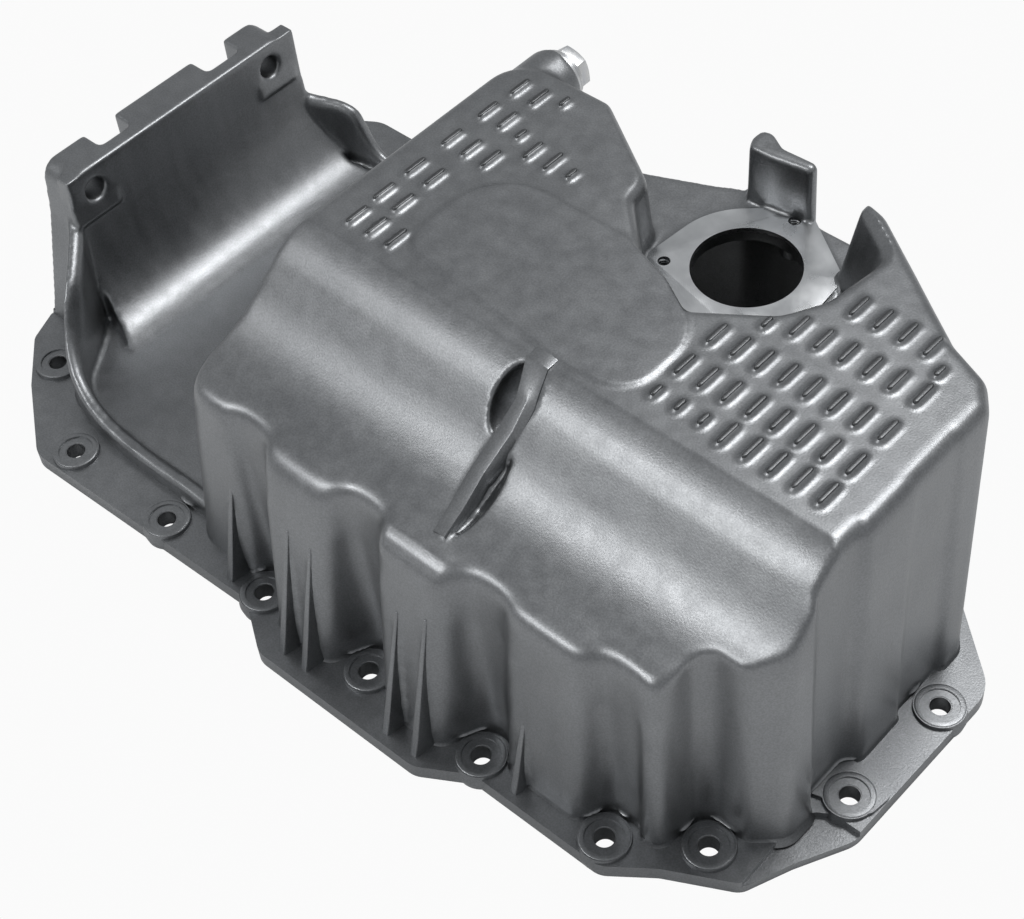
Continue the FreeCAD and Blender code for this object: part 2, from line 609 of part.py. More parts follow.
def casting():
    outer = sump_block(0, 0.0, 0.0, SUMP_H - 6.0).cut(slope_cutter(0))
    outer = outer.fuse(crown().cut(slope_cutter(0)))
    outer = outer.cut(bay_rim_cutter())
    solids = [skirt(), flange_plate(), sensor_face(), guard_post(), horn(), drain_boss(), bottom_pad()]
    solids += [near_rim(), far_rim(), bell_wall(), sweep_block(0, -128.0, 12.0, 10.0)]
    floor = [(-276.0, -124.0, 2.0), (-258.0, -143.0, 6.0), (-240.0, -166.0, 8.0), (-205.0, -173.5, 10.0),
             (-136.0, -174.0, 2.0), (-136.0, 22.0, 2.0), (-235.0, 26.0, 10.0), (-276.0, 8.0, 2.0)]
    solids.append(prism(rounded(floor), 0, FLOOR_Z))
    solids += gussets()
    body = outer.fuse(solids)
    body = body.cut(scoops()).fuse(slope_rib())
    body = body.fuse(dash_rows())

    bosses = []
    for p in screw_points():
        bosses.append(Part.makeCylinder(6.0, 30.0, V(p.x, p.y, FACE_Z - SCREW_DEPTH - 3.0)).cut(
            Part.makeBox(80, 80, 40, V(p.x - 40, p.y - 40, SHELF_Z - 1.0))))
    core = sump_block(WALL, SLOPE_WALL, -2.0, SUMP_H - ROOF).cut(slope_cutter(SLOPE_WALL))
    core = core.cut(rib_metal())
    core = core.cut(bay_cutter(SHELF_Z - 6.0, WALL))
    core = core.cut(Part.makeBox(BAY_CORNER_X - 30.0, 60.0, 60.0, V(30.0, -8.0, SHELF_Z - 6.0)))
    core = core.cut(bosses)
    hollow = [(-262.0, -120.0, 6.0), (-250.0, -140.0, 8.0), (-236.0, -158.0, 8.0), (-205.0, -167.0, 10.0),
              (-120.0, -168.0, 4.0), (-120.0, 12.0, 4.0), (-232.0, 20.0, 12.0), (-262.0, 2.0, 6.0)]
    under = prism(rounded(hollow), -2.0, FLOOR_Z - FLOOR_T)
    body = body.cut([core, under])
    trough = sweep_block(5.5, -122.0, 6.0, 6.0)
    body = body.cut(trough.common(Part.makeBox(60, 200, 90, V(-272.5, -150, -1))))

    cuts = bolt_cuts()
    cuts.append(Part.makeCylinder(BORE_D / 2, 60, V(BORE_X, BORE_Y, FACE_Z - 30)))
    for p in screw_points():
        cuts.append(Part.makeCylinder(SCREW_D / 2, SCREW_DEPTH + 5, V(p.x, p.y, FACE_Z - SCREW_DEPTH)))
        cuts.append(Part.makeCone(SCREW_D / 2 - 0.2, SCREW_D / 2 + 0.8, 1.0, V(p.x, p.y, FACE_Z - 0.8)))
    for y in BELL_HOLES_Y:
        cuts.append(Part.makeCylinder(BELL_HOLE_D / 2, 60, V(BELL_OUT_X - 5, y, BELL_HOLE_Z), V(1, 0, 0)))
    drain = V(PLUG_X, DRAIN_FACE_Y - 45, PLUG_Z)
    cuts.append(Part.makeCylinder(THREAD_D / 2 + RUN_CLEAR, 60, drain, V(0, 1, 0)))
    return body.cut(cuts).removeSplitter()


def drain_plug():
    y = DRAIN_FACE_Y + SEAL_T
    axis = V(0, 1, 0)
    body = Part.makeCylinder(COLLAR_R, COLLAR_T, V(PLUG_X, y, PLUG_Z), axis)
    shank = Part.makeCylinder(THREAD_D / 2, SHANK_L, V(PLUG_X, y - SHANK_L, PLUG_Z), axis)
    tip = [e for e in shank.Edges if abs(e.CenterOfMass.y - (y - SHANK_L)) < 0.01]
    shank = shank.makeChamfer(1.0, tip)
    across = HEX_AF / 2 / math.cos(math.pi / 6)
    ring = []
    for k in range(6):
        a = math.radians(60 * k + 12)
        ring.append(V(PLUG_X + across * math.cos(a), y + COLLAR_T, PLUG_Z + across * math.sin(a)))
    head = Part.Face(Part.makePolygon(ring + [ring[0]])).extrude(V(0, HEX_H, 0))
    dome = Part.makeCone(across + 0.2 + HEX_H * 2.0, across - 0.9, HEX_H + COLLAR_T + 0.001,
                         V(PLUG_X, y, PLUG_Z), axis)
    head = head.common(dome)
    return body.fuse([shank, head]).removeSplitter()


def drain_seal():
    axis = V(0, 1, 0)
    ring = Part.makeCylinder(SEAL_R, SEAL_T, V(PLUG_X, DRAIN_FACE_Y, PLUG_Z), axis)
    inner = Part.makeCylinder(THREAD_D / 2 + 0.2, SEAL_T + 2, V(PLUG_X, DRAIN_FACE_Y - 1, PLUG_Z), axis)
    return ring.cut(inner)


def main():
    nodes = {"oil_pan": casting(), "drain_plug": drain_plug(), "drain_seal": drain_seal()}
    box = FreeCAD.BoundBox()
    for shape in nodes.values():
        box.add(shape.optimalBoundingBox(False))
    move = V(-(box.XMin + box.XMax) / 2, -(box.YMin + box.YMax) / 2, -box.ZMin)
    os.makedirs("parts", exist_ok=True)
    for name, shape in nodes.items():
        shape.translate(move)
        shape.exportStep("parts/" + name + ".step")
        print(name, shape.isValid(), len(shape.Solids), round(shape.Volume))
    print("box", box, "moved by", move)


if __name__ == "__main__":
    main()
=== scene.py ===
import json
import math

import bpy
import numpy
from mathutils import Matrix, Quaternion, Vector
from mathutils.bvhtree import BVHTree


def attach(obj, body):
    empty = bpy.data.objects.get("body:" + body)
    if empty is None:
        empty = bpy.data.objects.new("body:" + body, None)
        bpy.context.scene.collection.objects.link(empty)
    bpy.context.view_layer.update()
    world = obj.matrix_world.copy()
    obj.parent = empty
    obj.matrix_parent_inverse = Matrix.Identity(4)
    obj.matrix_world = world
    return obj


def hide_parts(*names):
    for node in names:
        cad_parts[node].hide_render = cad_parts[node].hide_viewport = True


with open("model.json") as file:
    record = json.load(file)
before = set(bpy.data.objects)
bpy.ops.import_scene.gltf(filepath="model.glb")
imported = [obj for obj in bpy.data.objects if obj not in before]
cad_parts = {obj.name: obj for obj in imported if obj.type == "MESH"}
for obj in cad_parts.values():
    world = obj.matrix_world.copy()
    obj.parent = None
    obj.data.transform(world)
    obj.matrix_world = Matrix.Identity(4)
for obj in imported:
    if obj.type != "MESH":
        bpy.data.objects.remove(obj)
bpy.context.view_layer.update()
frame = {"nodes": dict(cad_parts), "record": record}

MM = 0.001
ORIGIN = Vector((0, 0, 0))
RING_WELD = 0.00001          # ends of a turned ring are joined within this, in metres
X, Y, Z = range(3)

# Camera
CAMERA_AZIMUTH = math.radians(47.35)
CAMERA_ELEVATION = math.radians(49.28)
CAMERA_ROLL = math.radians(-6.5)
CAMERA_PLACE = Vector((0.40488, -0.36601, 0.64105))
SENSOR_WIDTH = 36.0
LENS = SENSOR_WIDTH * 2000.0 / 1024.0

# Lamps: name, place, target, size, watts
LAMPS = [("key", (-0.26, -0.84, 0.92), (0.10, -0.05, 0.08), (0.40, 0.26), 3.4),
         ("left", (-0.68, -0.80, 0.83), (-0.05, -0.05, 0.08), (0.36, 0.30), 0.9),
         ("trough_high", (0.09, 0.46, 1.12), (-0.18, 0, 0.02), (0.28, 0.28), 4.0),
         ("trough_low", (0.34, 0.48, 1.00), (-0.18, 0, 0.02), (0.24, 0.24), 2.2)]
WORLD_TONE = (0.50, 0.51, 0.52, 1)
PAPER_TONE = (0.80, 0.80, 0.80, 1)
PAPER_GLOW = (0.96, 0.96, 0.96, 1)
PAPER_SIZE = 8.0
PAPER_HEIGHT = -0.0005

# Metal skins
CAST_TONES = ((0.235, 0.242, 0.250), (0.285, 0.292, 0.300))
MARKS_PAINTED_SHADE = 0.45           # painted shade: the marks' skin is darkened to this share of the cast tones
CUTTER_OFFSET = (0.05, 0.04)     # axis of the milling cutter, in metres from the bore

# Cast body
GRAIN = 1.05 * MM            # size of the mesh that the casting is melted into
WELD = 0.000002              # corners nearer than this are one, in metres
MELT_ROUNDS = 3              # softening everywhere
DEEP_ROUNDS = 22             # further softening of walls, slopes and the hollow sweep
SHOULDER_ROUNDS = 130        # and again where the front walls roll over into the slope
WEIGHT_STEPS = 8             # softening shares are rounded to eighths
INNER_SHARE = 0.08           # triangles kept on faces that look into the pan
OUTER_SHARE = 0.34           # and on the others; both keep the piece under 200,000
SEAM = 9.0 * MM              # height where the melted body gives way to the crisp flange
FACE_CLEARANCE = 0.6 * MM    # the look upward starts this far off a face

# Where softening starts and is full, in the pan's own millimetres
FOOT_OF_WALLS = (11, 17)
FLAT_BOTTOM = (137.2, 138.6)
SHOULDER_STARTS = (74, 86)
SHOULDER_ENDS = (122, 132)
FRONT_WALL = (-160, -170)
BELL_WALL = (-150, -160)
SWEEP_FIELD = ((X, -266, -260), (X, -224, -232))
RIB_FIELD = ((X, -26, -19), (X, 13, 7), (Z, 88, 94), (Y, -98, -104))
GUARD_FIELD = ((X, -36, -28), (X, 84, 70), (Y, -40, -14), (Z, 100, 106))
RIB_CRISP = 0.97             # shares of the deep softening that are held back
GUARD_CRISP = 0.9
BELL_CRISP = 0.75

# Bolt seats on the flange
BOLT_RADIUS = 4.0 * MM
BOLT_PITCH = 59.5 * MM
SPOT_RADIUS = 7.4 * MM
SPOT_DRAFT = 0.2 * MM
SPOT_DEPTH = 0.6 * MM
BOSS_RADIUS = 10.0 * MM
BOSS_TOP = 8.6 * MM
BOSS_ROUND = 0.9 * MM
BOSS_DRAFT = 0.8 * MM
BOSS_WIDEST = 4.0 * MM
SEAT_BASE = 0.3 * MM
SEAT_LIFT = 0.15 * MM        # the seats stand this much over the casting's own
HOLE_CHAMFER = 0.4 * MM
EDGE_LIFT = 0.17 * MM        # bright edges stand a hair over the seats
EDGE_WIDTH = 0.5 * MM
EDGE_SKIRT = 0.6 * MM

# Fins on the front wall: x, wall y at the flange, outer y, top z, lean of the foot
FINS = [(-111.0, -181.5, -190.5, 84.0, -1.0), (-68.0, -194.0, -201.5, 70.0, -1.5),
        (-56.0, -194.0, -201.5, 69.0, -1.0), (-11.0, -194.0, -202.0, 69.0, -1.0),
        (3.5, -194.0, -202.0, 76.0, -0.5), (43.0, -184.0, -190.0, 57.0, -0.5)]
FRONT_LEAN = 17.0            # the front wall leans in by this over its height
FRONT_HEIGHT = 140.0
FIN_WIDTH = 5.2
FIN_FOOT = 5.0
FIN_BURIED = 3.0
FIN_TOP_DEPTH = 3.5
FIN_TOP_SHARE = 0.28         # width at the top and of the outer face, as shares
FIN_OUTER_SHARE = 0.66
FIN_ROUND = 0.55 * MM

# Drain plug, in millimetres; profiles are (radius, height) along its axis
PLUG_PROFILE = [(0.004, -16.0), (5.7, -16.0), (6.4, -15.2), (6.4, 0.0), (10.5, 0.0),
                (10.8, 0.3), (10.8, 1.4), (10.4, 1.8), (0.004, 1.8)]
DOME_PROFILE = [(0.004, 0.0), (16.0, 0.0), (16.0, 4.2), (8.4, 7.8), (0.004, 7.8)]
SHANK_RADIUS = 6.4
THREAD_REACH = 0.6
THREAD_PITCH = 1.5
THREAD_START = -14.8
THREAD_TURNS = 9
THREAD_STEPS = 32
THREAD_FLANK = 0.46          # half the foot of a thread, as a share of its pitch
HEX_ACROSS = 17.0
HEX_LOW = 1.5
HEX_HIGH = 7.8
HEX_TURN = -12.0
HEX_ROUND = 0.25

# Sensor seat
BORE_X = 4.0                 # place of the bore in the pan's own millimetres
BORE_Y = -5.0
SEAT_RADIUS = 32.5 * MM
SEAT_TOP = 110.2 * MM
SEAT_FOOT = 106.0 * MM
LOBE_RADIUS = 7.6 * MM
SCREW_CIRCLE = 31.3 * MM
SCREW_RADIUS = 2.5 * MM
SCREW_DEPTH = 14.0 * MM
SCREW_REACH = 0.36 * MM
SCREW_PITCH = 1.0 * MM
SCREW_START = 13.2 * MM      # threads start this far below the seat
SCREW_TURNS = 12
SCREW_STEPS = 20
SCREW_ANGLES = (92.0, 212.0, 332.0)
SEAT_CORNERS = [(31.9, -6.3), (31.1, 16.3)]      # straight side, from the bore's axis
CORNER_RADIUS = 1.6 * MM
SEAT_ROUND = 0.35 * MM
BORE_RADIUS = 21.5 * MM
BORE_DEPTH = 12.0 * MM

# Bar down the slope, in millimetres. Each row has its place along Y, the slope's height
# there, then left foot, ridge and right foot, each as X and height over the slope.
RIB_ROWS = [(-168.0, 102.5, -4.6, 0.0, 0.6, 1.2, 1.4, -1.0),
            (-157.0, 104.6, -7.0, 0.2, -0.4, 2.8, 0.4, -2.0),
            (-144.0, 110.9, -8.4, 0.2, -1.6, 3.2, -0.8, -2.0),
            (-131.0, 122.2, -6.2, 0.4, 0.6, 3.0, 2.6, -0.5),
            (-122.5, 131.2, -4.4, 0.8, 0.6, 2.6, 3.8, 1.0),
            (-119.0, 134.2, -5.6, 1.2, -1.5, 1.8, 2.9, 1.6),
            (-111.0, 139.0, -9.4, 0.6, -4.5, 1.0, 0.3, 1.0),
            (-103.0, 139.9, -9.8, 0.0, -4.5, 0.2, 0.2, 0.2)]
RIB_BURIED = 7.0             # its sides go this far into the slope
RIB_LIFT = 0.45              # it stands this much over the casting's own
RIB_SIDE = 0.3               # and is wider by this at its feet
RIB_SKIRT = 0.5
RIB_ROUND = 0.35

# Raised marks on the flat bottom
BOTTOM = 140.0 * MM
MARK_BASE = 1.0 * MM
MARK_WIDTH = 3.9 * MM
MARK_HEIGHT = 2.15 * MM
MARK_TOP = 0.45              # share of the width left at the top
MARK_LENGTH = 12.5 * MM
MARK_SHORT = 7.5 * MM
MARK_PITCH = 10.2 * MM
MARK_ROUND = 0.3 * MM
# x of the first mark, how many, y, how many of them are short
MARK_ROWS = [(36.4, 8, -96.0, 3), (36.0, 8, -80.5, 0), (35.6, 8, -62.4, 0),
             (55.6, 6, -42.0, 0), (66.0, 4, -21.8, 0), (-107.1, 3, -97.0, 0),
             (-108.2, 2, -81.6, 0), (-108.7, 2, -64.2, 0), (-109.1, 3, -43.5, 0),
             (-109.1, 2, -23.1, 0), (-108.4, 2, -5.4, 0), (-79.1, 2, -30.2, 0)]
SINGLE_MARKS = [(45.7, -47.5), (105.0, -30.0), (-89.0, -26.0), (-88.4, -1.4), (-58.7, -31.2)]


def mount_place(name):
    mounts = frame["record"]["mounts"]
    return Vector(next(m["pos_m"] for m in mounts if m["name"] == name))


def joint_place(name):
    joints = frame["record"]["behaviour"]["joints"]
    return Vector(next(j["pos_m"] for j in joints if j["name"] == name))


SENSOR = mount_place("sensor_bore")
PLUG = joint_place("drain_plug_turn")
HOME = Vector((SENSOR.x - BORE_X * MM, SENSOR.y - BORE_Y * MM, 0.0))


def at(x, y, z):
    """Point given in the pan's own millimetres."""
    return HOME + Vector((x, y, z)) * MM


# Helpers for modelling

def deselect():
    bpy.ops.object.select_all(action="DESELECT")


def pick(piece):
    deselect()
    piece.select_set(True)
    bpy.context.view_layer.objects.active = piece


def edit(piece):
    pick(piece)
    bpy.ops.object.mode_set(mode="EDIT")
    bpy.ops.mesh.select_all(action="SELECT")


def leave():
    bpy.ops.object.mode_set(mode="OBJECT")


def named(name):
    piece = bpy.context.object
    piece.name = name
    piece.data.name = name
    return piece


def settle(piece):
    pick(piece)
    bpy.ops.object.transform_apply(location=True, rotation=True, scale=True)
    return piece


def apply(piece, modifier):
    pick(piece)
    bpy.ops.object.modifier_apply(modifier=modifier.name)


def joined(name, pieces):
    deselect()
    for piece in pieces:
        piece.select_set(True)
    bpy.context.view_layer.objects.active = pieces[0]
    bpy.ops.object.join()
    return named(name)


def copied(first, places):
    """The modelled piece once at each place, as one piece."""
    pieces = []
    for place in places:
        copy = first.copy()
        copy.data = first.data.copy()
        bpy.context.scene.collection.objects.link(copy)
        copy.location = place
        pieces.append(settle(copy))
    name = first.name
    bpy.data.objects.remove(first)
    return joined(name, pieces)


def cut(piece, tool, operation="DIFFERENCE"):
    boolean = piece.modifiers.new("cut", "BOOLEAN")
    boolean.operation = operation
    boolean.object = tool
    boolean.solver = "EXACT"
    apply(piece, boolean)
    bpy.data.objects.remove(tool)


def softened(piece, width, segments=2, angle=30.0):
    bevel = piece.modifiers.new("edge", "BEVEL")
    bevel.width = width
    bevel.segments = segments
    bevel.limit_method = "ANGLE"
    bevel.angle_limit = math.radians(angle)
    apply(piece, bevel)


def shade(piece, angle=35.0):
    pick(piece)
    bpy.ops.object.shade_smooth_by_angle(angle=math.radians(angle))


def choose(piece, chosen):
    """Go into edit mode with only the chosen corners selected."""
    edit(piece)
    bpy.ops.mesh.select_mode(type="VERT")
    bpy.ops.mesh.select_all(action="DESELECT")
    leave()
    for corner in piece.data.vertices:
        corner.select = chosen(corner)
    bpy.ops.object.mode_set(mode="EDIT")


def reshape(piece, chosen, scale, shift, centre):
    """Scale about a centre and move the corners whose places are chosen."""
    choose(piece, lambda corner: chosen(corner.co))
    bpy.ops.transform.resize(value=scale, center_override=centre)
    bpy.ops.transform.translate(value=shift)
    leave()


def pull(piece, index, goal):
    """Move one corner of a piece to its place."""
    start = piece.data.vertices[index].co.copy()
    choose(piece, lambda corner: corner.index == index)
    bpy.ops.transform.translate(value=goal - start)
    leave()


def scaled(profile):
    return [(radius * MM, height * MM) for radius, height in profile]


def turned(name, profile, steps=48):
    """Closed ring turned about the Z axis: profile is (radius, height) once round."""
    deselect()
    radius, height = profile[0]
    bpy.ops.mesh.primitive_circle_add(vertices=steps, radius=radius, location=(0, 0, height))
    piece = named(name)
    edit(piece)
    for next_radius, next_height in profile[1:] + profile[:1]:
        up = {"value": (0, 0, next_height - height)}
        bpy.ops.mesh.extrude_edges_move(TRANSFORM_OT_translate=up)
        share = next_radius / radius
        centre = (0, 0, next_height)
        bpy.ops.transform.resize(value=(share, share, 1), center_override=centre)
        radius, height = next_radius, next_height
    bpy.ops.mesh.select_all(action="SELECT")
    bpy.ops.mesh.remove_doubles(threshold=RING_WELD)
    bpy.ops.mesh.normals_make_consistent(inside=False)
    leave()
    return settle(piece)


def pin(radius, low, high, place, steps=48):
    deselect()
    bpy.ops.mesh.primitive_cylinder_add(vertices=steps, radius=radius, depth=high - low,
                                        location=(place.x, place.y, (low + high) / 2))
    return named("pin")


def helix(name, radius, reach, pitch, turns, steps):
    """Thread ridge of diamond section, climbing along Z from the origin."""
    deselect()
    bpy.ops.mesh.primitive_circle_add(vertices=4, radius=1.0, location=(0, 0, 0),
                                      rotation=(math.pi / 2, 0, 0))
    ridge = named(name)
    ridge.scale = (reach, pitch * THREAD_FLANK, 1.0)
    settle(ridge)
    ridge.location = (radius, 0, 0)
    settle(ridge)
    screw = ridge.modifiers.new("screw", "SCREW")
    screw.screw_offset = pitch
    screw.iterations = turns
    screw.steps = steps
    screw.render_steps = steps
    apply(ridge, screw)
    edit(ridge)
    bpy.ops.mesh.normals_make_consistent(inside=False)
    leave()
    return ridge


# Materials

def ramp(nodes, links, source, stops):
    node = nodes.new("ShaderNodeValToRGB")
    elements = node.color_ramp.elements
    while len(elements) < len(stops):
        elements.new(0.5)
    for element, (position, value) in zip(elements, stops):
        element.position = position
        colour = value if isinstance(value, tuple) else (value, value, value)
        element.color = (*colour, 1.0)
    links.new(source, node.inputs["Fac"])
    return node.outputs["Color"]


def noise(nodes, links, place, scale, detail=3.0, stretch=(1, 1, 1)):
    mapping = nodes.new("ShaderNodeMapping")
    mapping.inputs["Scale"].default_value = stretch
    links.new(place, mapping.inputs["Vector"])
    node = nodes.new("ShaderNodeTexNoise")
    node.inputs["Scale"].default_value = scale
    node.inputs["Detail"].default_value = detail
    links.new(mapping.outputs["Vector"], node.inputs["Vector"])
    return node.outputs["Fac"]


def metal(name):
    material = bpy.data.materials.new(name)
    material.use_nodes = True
    nodes, links = material.node_tree.nodes, material.node_tree.links
    shader = nodes["Principled BSDF"]
    shader.inputs["Metallic"].default_value = 1.0
    place = nodes.new("ShaderNodeTexCoord").outputs["Object"]
    return material, nodes, links, shader, place


def multiplied(nodes, links, first, second):
    node = nodes.new("ShaderNodeMix")
    node.data_type = "RGBA"
    node.blend_type = "MULTIPLY"
    node.inputs["Factor"].default_value = 1.0
    links.new(first, node.inputs["A"])
    links.new(second, node.inputs["B"])
    return node.outputs["Result"]


def bumped(nodes, links, shader, layers):
    """Bumps laid one over the other: each layer is height, strength and distance."""
    normal = None
    for height, strength, distance in layers:
        bump = nodes.new("ShaderNodeBump")
        bump.inputs["Strength"].default_value = strength
        bump.inputs["Distance"].default_value = distance
        links.new(height, bump.inputs["Height"])
        if normal is not None:
            links.new(normal, bump.inputs["Normal"])
        normal = bump.outputs["Normal"]
    links.new(normal, shader.inputs["Normal"])


def cast_skin(name, depth=1.0):
    """Blasted die-cast skin: cloudy grey, fine grain and flow streaks down the walls. A depth
    under 1 darkens the tones, as painted shade.
    """
    material, nodes, links, shader, place = metal(name)
    clouds = noise(nodes, links, place, 22.0, 5.0)
    grain = noise(nodes, links, place, 1400.0, 2.0)
    flow = noise(nodes, links, place, 160.0, 4.0, (1.0, 1.0, 0.12))
    # a depth below 1 scales both cast tones down: painted shade, used for the marks
    low, high = [tuple(depth * c for c in tone) for tone in CAST_TONES]
    tone = ramp(nodes, links, clouds, [(0.30, low), (0.72, high)])
    speck = ramp(nodes, links, grain, [(0.35, 0.82), (0.65, 1.0)])
    streak = ramp(nodes, links, flow, [(0.32, 0.90), (0.68, 1.0)])
    tone = multiplied(nodes, links, tone, speck)
    tone = multiplied(nodes, links, tone, streak)
    links.new(tone, shader.inputs["Base Color"])
    rough = ramp(nodes, links, flow, [(0.25, 0.34), (0.75, 0.44)])
    links.new(rough, shader.inputs["Roughness"])
    bumped(nodes, links, shader, [(grain, 0.22, 0.0002), (flow, 0.10, 0.0004)])
    return material


def clouded(nodes, links, shader, place, scale, detail, tones, roughs):
    """Colour and roughness of a metal from one pattern of clouds, which is returned."""
    clouds = noise(nodes, links, place, scale, detail)
    tone = ramp(nodes, links, clouds, [(0.3, tones[0]), (0.7, tones[1])])
    links.new(tone, shader.inputs["Base Color"])
    rough = ramp(nodes, links, clouds, [(0.2, roughs[0]), (0.8, roughs[1])])
    links.new(rough, shader.inputs["Roughness"])
    return clouds


def machined_skin():
    """Faces milled after casting: brighter, with faint cutter rings."""
    material, nodes, links, shader, place = metal("machined_aluminium")
    tones = ((0.44, 0.45, 0.46), (0.56, 0.57, 0.58))
    clouded(nodes, links, shader, place, 90.0, 4.0, tones, (0.24, 0.36))
    wave = nodes.new("ShaderNodeTexWave")
    wave.wave_type = "RINGS"
    wave.rings_direction = "Z"
    wave.inputs["Scale"].default_value = 420.0
    wave.inputs["Distortion"].default_value = 1.5
    centre = nodes.new("ShaderNodeMapping")
    cutter = (-SENSOR.x - CUTTER_OFFSET[0], -SENSOR.y - CUTTER_OFFSET[1], 0.0)
    centre.inputs["Location"].default_value = cutter
    links.new(place, centre.inputs["Vector"])
    links.new(centre.outputs["Vector"], wave.inputs["Vector"])
    bumped(nodes, links, shader, [(wave.outputs["Fac"], 0.08, 0.0001)])
    return material


def zinc_skin():
    """Zinc plating on steel: pale, slightly yellow-blue clouds."""
    material, nodes, links, shader, place = metal("zinc_steel")
    tones = ((0.50, 0.51, 0.53), (0.62, 0.62, 0.61))
    clouds = clouded(nodes, links, shader, place, 240.0, 4.0, tones, (0.28, 0.42))
    bumped(nodes, links, shader, [(clouds, 0.05, 0.0002)])
    return material


def seal_skin():
    """Bright metal of the ring under the plug."""
    material, nodes, links, shader, place = metal("seal_metal")
    tones = ((0.58, 0.59, 0.60), (0.70, 0.70, 0.70))
    clouded(nodes, links, shader, place, 300.0, 3.0, tones, (0.32, 0.48))
    return material


def dress(piece, material):
    piece.data.materials.clear()
    piece.data.materials.append(material)


def seat(piece, body, material):
    dress(piece, material)
    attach(piece, body)


# Casting

def under_cover(piece):
    """True for each face with something of the piece straight above it."""
    tree = BVHTree.FromPolygons([v.co for v in piece.data.vertices],
                                [p.vertices for p in piece.data.polygons])
    up = Vector((0, 0, 1))
    covered = []
    for face in piece.data.polygons:
        start = face.center + face.normal * FACE_CLEARANCE
        covered.append(tree.ray_cast(start, up)[0] is not None)
    return covered


def thin_out(piece, share, wanted):
    """Collapse the faces whose cover is as wanted."""
    covered = under_cover(piece)
    pick(piece)
    bpy.ops.object.mode_set(mode="EDIT")
    bpy.ops.mesh.select_mode(type="FACE")
    bpy.ops.mesh.select_all(action="DESELECT")
    leave()
    for face, flag in zip(piece.data.polygons, covered):
        face.select = flag == wanted
    bpy.ops.object.mode_set(mode="EDIT")
    bpy.ops.mesh.decimate(ratio=share)
    leave()


def rise(values, start, full):
    """Share that grows from 0 at the start to 1 where it is full, either way along."""
    return numpy.clip((values - start) / (full - start), 0.0, 1.0)


def field(places, sides):
    """Product of the rises along the named axes."""
    share = 1.0
    for axis, start, full in sides:
        share = share * rise(places[axis], start, full)
    return share


def softness(piece):
    """Two shares for every point: of the deep softening and of the shoulder's.
    The flange, the flat bottom, the rib, the guard post and the bell wall stay crisp."""
    flat = numpy.empty(len(piece.data.vertices) * 3)
    piece.data.vertices.foreach_get("co", flat)
    places = ((flat.reshape(-1, 3) - numpy.array(HOME)) / MM).T
    x, y, z = places
    rib = field(places, RIB_FIELD)
    guard = field(places, GUARD_FIELD)
    deep = rise(z, *FOOT_OF_WALLS) * (1.0 - rise(z, *FLAT_BOTTOM))
    deep *= 1.0 - RIB_CRISP * rib
    deep *= 1.0 - GUARD_CRISP * guard
    deep *= 1.0 - BELL_CRISP * rise(x, *BELL_WALL) * (1.0 - field(places, SWEEP_FIELD))
    shoulder = rise(z, *SHOULDER_STARTS) * (1.0 - rise(z, *SHOULDER_ENDS))
    shoulder *= rise(y, *FRONT_WALL)
    shoulder *= 1.0 - rib
    return deep, shoulder


def weighted(piece, name, shares):
    group = piece.vertex_groups.new(name=name)
    steps = numpy.rint(shares * WEIGHT_STEPS).astype(int)
    for step in range(1, WEIGHT_STEPS + 1):
        group.add(numpy.nonzero(steps == step)[0].tolist(), step / WEIGHT_STEPS, "REPLACE")
    return group.name


def smoothed(piece, rounds, group=None):
    soft = piece.modifiers.new("soft", "SMOOTH")
    soft.factor = 0.5
    soft.iterations = rounds
    if group:
        soft.vertex_group = group
    apply(piece, soft)


def cad_copy(name):
    """The casting's CAD mesh copied and merged."""
    piece = bpy.data.objects.new(name, frame["nodes"]["oil_pan"].data.copy())
    bpy.context.scene.collection.objects.link(piece)
    edit(piece)
    bpy.ops.mesh.remove_doubles(threshold=WELD)
    leave()
    return piece


def cast_body():
    """The casting with its edges run together, as a die leaves them."""
    body = cad_copy("pan_casting")
    melt = body.modifiers.new("melt", "REMESH")
    melt.mode = "VOXEL"
    melt.voxel_size = GRAIN
    melt.use_smooth_shade = True
    apply(body, melt)
    deep, shoulder = softness(body)
    smoothed(body, MELT_ROUNDS)
    smoothed(body, DEEP_ROUNDS, weighted(body, "deep", deep))
    smoothed(body, SHOULDER_ROUNDS, weighted(body, "shoulder", shoulder))
    edit(body)
    bpy.ops.mesh.bisect(plane_co=(0, 0, SEAM), plane_no=(0, 0, 1), clear_inner=True)
    leave()
    thin_out(body, INNER_SHARE, True)
    thin_out(body, OUTER_SHARE, False)
    body.vertex_groups.clear()
    body.data.shade_smooth()
    print("casting triangles", sum(len(p.vertices) - 2 for p in body.data.polygons))
    return body


def flange():
    """Bolting flange below the foot of the walls, with its edges crisp."""
    piece = cad_copy("pan_flange")
    edit(piece)
    bpy.ops.mesh.bisect(plane_co=(0, 0, SEAM), plane_no=(0, 0, 1), clear_outer=True)
    leave()
    bpy.ops.mesh.customdata_custom_splitnormals_clear()
    shade(piece, 30.0)
    return piece


# Pieces on the flange and the front wall

def bolt_places():
    places = []
    middle = mount_place("bolts_bay_row")
    for side in (-0.5, 0.5):
        places.append(middle + Vector((side * BOLT_PITCH, 0, 0)))
    mounts = frame["record"]["mounts"]
    places += [Vector(m["pos_m"]) for m in mounts if m["name"].startswith("bolt_")]
    return [Vector((p.x, p.y, 0)) for p in places]


